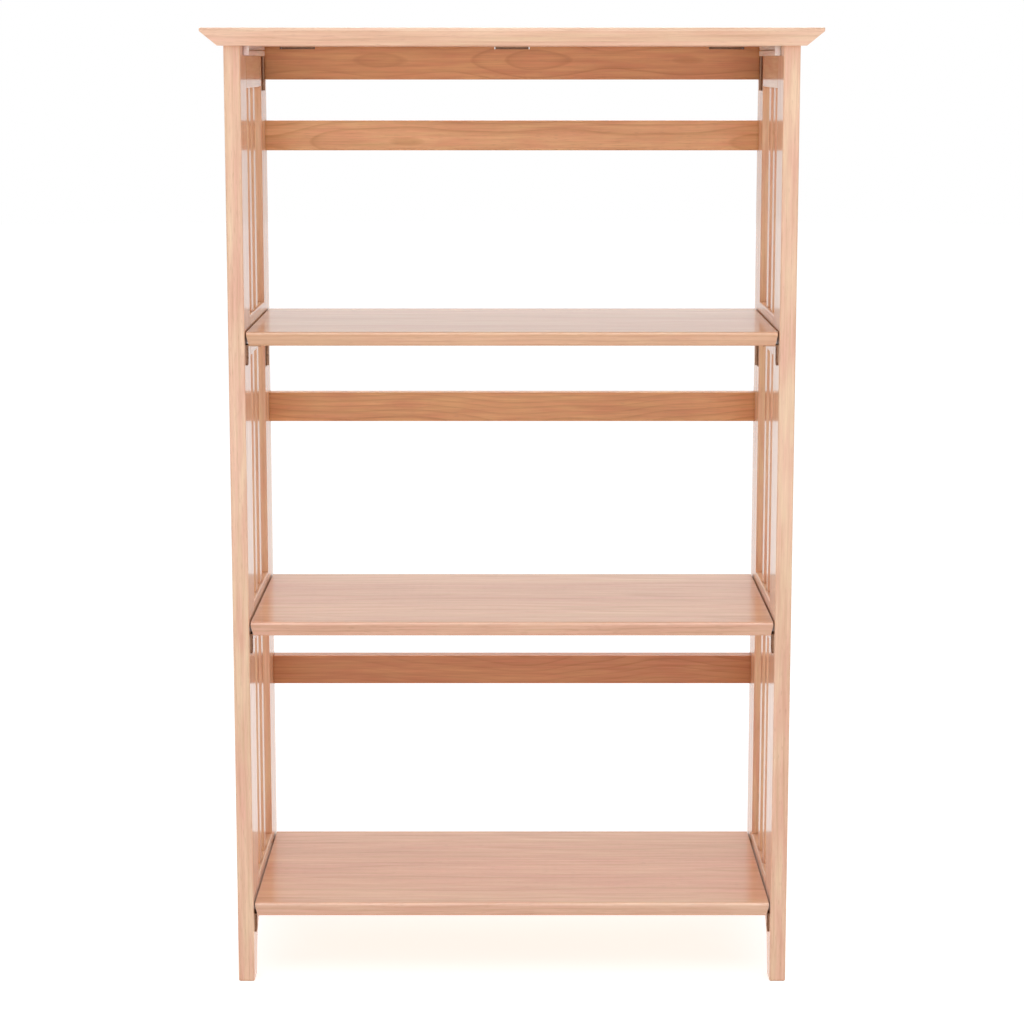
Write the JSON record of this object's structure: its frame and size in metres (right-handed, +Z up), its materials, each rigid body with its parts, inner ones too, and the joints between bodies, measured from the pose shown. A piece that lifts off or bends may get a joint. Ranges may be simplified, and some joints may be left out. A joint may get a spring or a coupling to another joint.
{
  "type": "folding bookcase",
  "caption": "Open folding bookcase of pale wood: bevelled lift-up top, slatted side frames and fold-up shelves between a hinged railed back frame.",
  "frame": {"origin": "centre of the footprint on the floor", "axes": "+Z up, -Y towards the open front, +X to the right seen from the front"},
  "size_m": [0.666, 0.3244, 1.067],
  "materials": {
    "frame_wood": "clear satin lacquer over fine straight-grained pale hardwood",
    "shelf_wood": "edge-glued boards, clear satin lacquer over fine straight-grained pale hardwood",
    "top_wood": "edge-glued boards, clear satin lacquer over fine straight-grained pale hardwood",
    "cleat_wood": "pale planed hardwood strip",
    "hinge_steel": "dull plated steel",
    "bracket_steel": "dull plated steel"
  },
  "bodies": {
    "frame": {"back_rail_lower": "frame_wood", "back_rail_middle": "frame_wood", "back_rail_top": "frame_wood", "back_rail_upper": "frame_wood", "back_stile_left": "frame_wood", "back_stile_right": "frame_wood", "front_post_left": "frame_wood", "front_post_right": "frame_wood", "rear_post_left": "frame_wood", "rear_post_right": "frame_wood", "shelf_brackets_lower": "bracket_steel", "shelf_brackets_middle": "bracket_steel", "shelf_brackets_upper": "bracket_steel", "shelf_pivot_pins_lower": "hinge_steel", "shelf_pivot_pins_middle": "hinge_steel", "shelf_pivot_pins_upper": "hinge_steel", "side_bottom_rail_left": "frame_wood", "side_bottom_rail_right": "frame_wood", "side_hinge_pins_left": "hinge_steel", "side_hinge_pins_right": "hinge_steel", "side_hinge_post_leaves_left": "hinge_steel", "side_hinge_post_leaves_right": "hinge_steel", "side_hinge_stile_leaves_left": "hinge_steel", "side_hinge_stile_leaves_right": "hinge_steel", "side_middle_rail_left": "frame_wood", "side_middle_rail_right": "frame_wood", "side_slats_lower_left": "frame_wood", "side_slats_lower_right": "frame_wood", "side_slats_middle_left": "frame_wood", "side_slats_middle_right": "frame_wood", "side_slats_upper_left": "frame_wood", "side_slats_upper_right": "frame_wood", "side_top_rail_left": "frame_wood", "side_top_rail_right": "frame_wood", "side_upper_rail_left": "frame_wood", "side_upper_rail_right": "frame_wood", "top_hinge_pins": "hinge_steel", "top_hinge_rail_leaves": "hinge_steel"},
    "top": {"top_panel": "top_wood", "top_cleat_left": "cleat_wood", "top_cleat_right": "cleat_wood", "top_hinge_panel_leaves": "hinge_steel"},
    "shelf_upper": {"shelf_upper": "shelf_wood"},
    "shelf_middle": {"shelf_middle": "shelf_wood"},
    "shelf_lower": {"shelf_lower": "shelf_wood"}
  },
  "joints": [
    {"name": "top_lift", "type": "hinge", "parent": "frame", "child": "top", "pos_m": [0, 0.16, 1.0467], "axis": [-1, 0, 0], "range_deg": [0, 180]},
    {"name": "shelf_upper_fold", "type": "hinge", "parent": "frame", "child": "shelf_upper", "pos_m": [0, 0.1273, 0.7315], "axis": [-1, 0, 0], "range_deg": [0, 91]},
    {"name": "shelf_middle_fold", "type": "hinge", "parent": "frame", "child": "shelf_middle", "pos_m": [0, 0.1273, 0.4075], "axis": [-1, 0, 0], "range_deg": [0, 91]},
    {"name": "shelf_lower_fold", "type": "hinge", "parent": "frame", "child": "shelf_lower", "pos_m": [0, 0.1273, 0.0835], "axis": [-1, 0, 0], "range_deg": [0, 91]}
  ]
}
